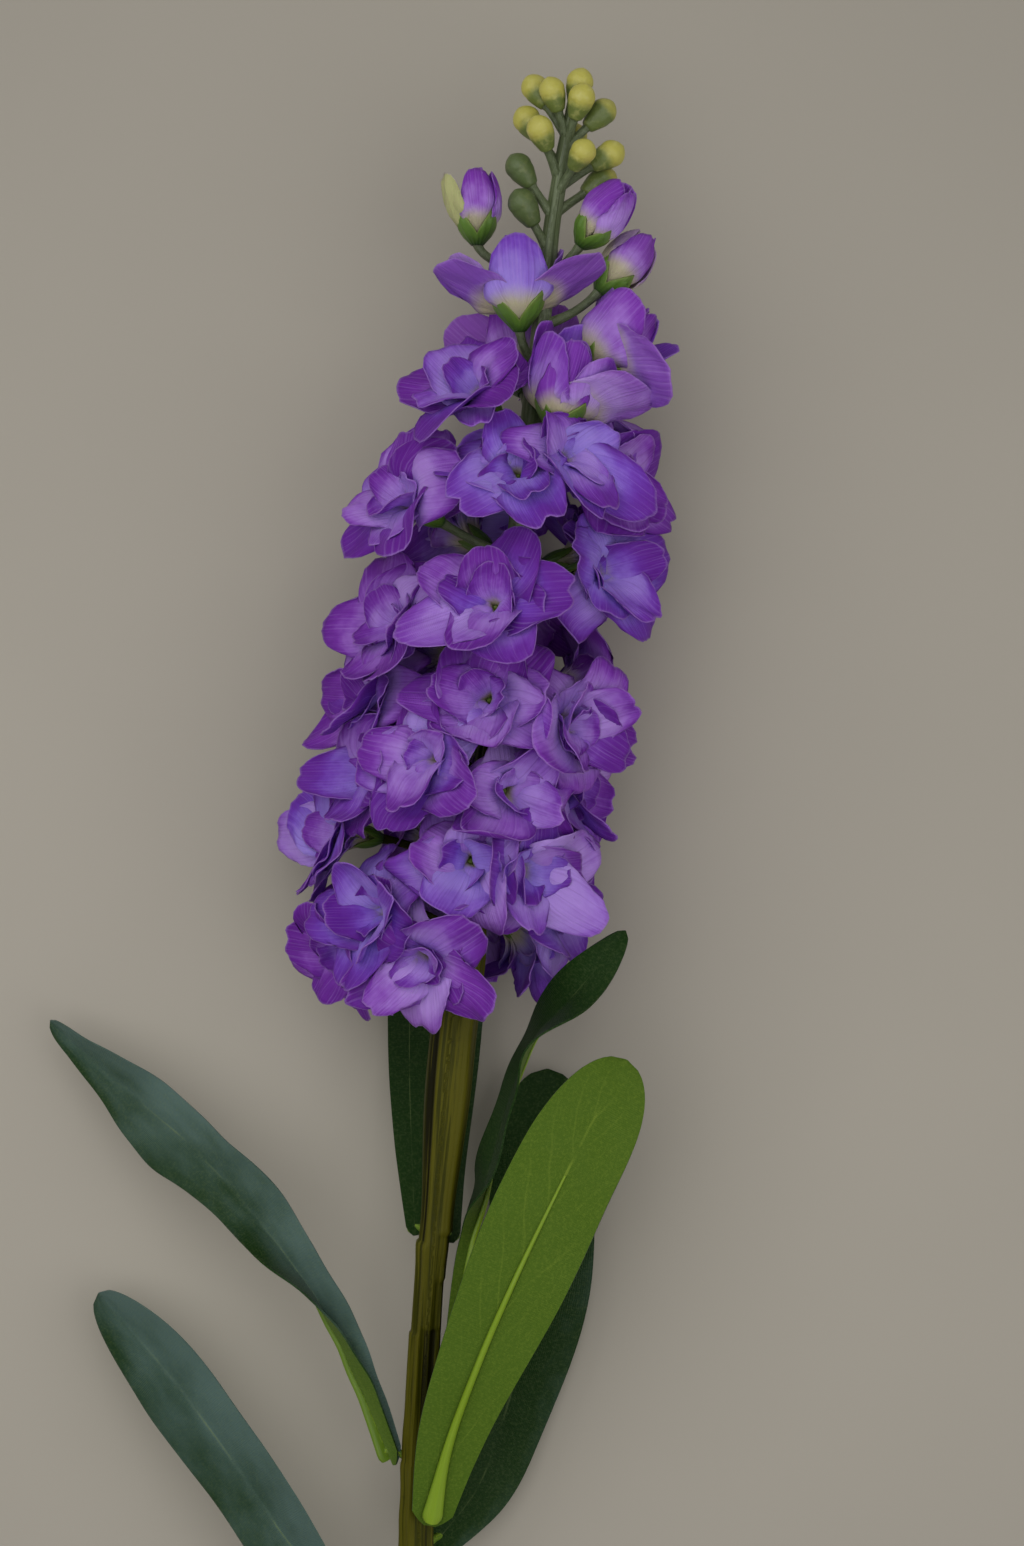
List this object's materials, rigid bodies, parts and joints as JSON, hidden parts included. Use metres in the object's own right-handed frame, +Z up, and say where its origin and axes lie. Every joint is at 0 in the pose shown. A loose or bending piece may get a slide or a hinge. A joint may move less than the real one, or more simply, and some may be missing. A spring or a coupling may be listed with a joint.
{
  "type": "artificial stock flower stem",
  "caption": "Artificial stock flower stem lying down: wired plastic stem, clip-on fabric leaves and a spike of purple fabric florets below a moulded sprig of green buds.",
  "frame": {"origin": "on the table under the middle of the whole stem's bounding box", "axes": "+Y along the stem from its cut end to the buds, +Z up from the table it lies on, +X to the right seen from above with the buds away from the viewer"},
  "size_m": [0.1722, 0.5042, 0.0764],
  "materials": {
    "stem": "olive-brown moulded plastic with lengthwise grooves",
    "wire": "plain drawn wire",
    "sprig": "grey-green moulded plastic with yellow-cream bud tips",
    "petals": "purple printed polyester, pressed into ruffled petals with lighter throats and edges",
    "leaf": "dark green woven polyester, lighter olive green underneath",
    "rib": "yellow-green moulded plastic"
  },
  "bodies": {
    "root": {"main_stem": "stem", "core_wire": "wire", "flower_sprig": "sprig", "leaf_left_low": "leaf", "rib_left_low": "rib", "leaf_right_back": "leaf", "rib_right_back": "rib", "leaf_right_front": "leaf", "rib_right_front": "rib", "leaf_left_high": "leaf", "rib_left_high": "rib", "leaf_right_twisted": "leaf", "rib_right_twisted": "rib", "leaf_under_left": "leaf", "rib_under_left": "rib", "leaf_under_right": "leaf", "rib_under_right": "rib", "floret_01": "petals", "floret_02": "petals", "floret_03": "petals", "floret_04": "petals", "floret_05": "petals", "floret_06": "petals", "floret_07": "petals", "floret_08": "petals", "floret_09": "petals", "floret_10": "petals", "floret_11": "petals", "floret_12": "petals", "floret_13": "petals", "floret_14": "petals", "floret_15": "petals", "floret_16": "petals", "floret_17": "petals", "floret_18": "petals", "floret_19": "petals", "floret_20": "petals", "floret_21": "petals", "floret_22": "petals", "floret_23": "petals", "floret_24": "petals", "floret_25": "petals", "floret_26": "petals", "floret_27": "petals", "floret_28": "petals", "floret_29": "petals", "floret_30": "petals", "floret_31": "petals", "floret_32": "petals", "floret_33": "petals", "floret_34": "petals", "floret_35": "petals", "floret_36": "petals", "floret_37": "petals", "floret_38": "petals", "floret_39": "petals", "floret_40": "petals", "floret_41": "petals"}
  },
  "joints": []
}
